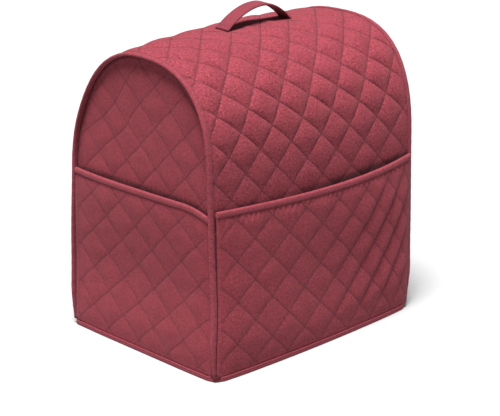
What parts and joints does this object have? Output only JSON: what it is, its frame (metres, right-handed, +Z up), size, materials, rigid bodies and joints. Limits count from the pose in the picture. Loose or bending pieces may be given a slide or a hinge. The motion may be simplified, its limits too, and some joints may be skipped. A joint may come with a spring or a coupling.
{
  "type": "stand mixer cover",
  "caption": "Quilted fabric cover with an arched top, bound seams, a carrying strap and open pockets on one side and one end; it stands hollow on its hem.",
  "frame": {"origin": "middle of the cover's footprint, on the surface that its hem stands on", "axes": "+Z up, +X along the long sides away from the end with the small pocket, -Y towards the side with the big pocket"},
  "size_m": [0.3724, 0.2978, 0.4247],
  "materials": {
    "quilt_wine": "brushed quilted polyester, wine red, matt",
    "tape_wine": "woven binding tape, wine red, matt",
    "strap_wine": "folded and stitched strap, wine red, matt"
  },
  "bodies": {
    "root": {"gusset": "quilt_wine", "end_near": "quilt_wine", "end_far": "quilt_wine", "pocket_front": "quilt_wine", "pocket_end": "quilt_wine", "arch_binding_near": "tape_wine", "arch_binding_far": "tape_wine", "hem_tape": "tape_wine", "pocket_front_tape": "tape_wine", "pocket_end_tape": "tape_wine", "handle": "strap_wine"}
  },
  "joints": []
}
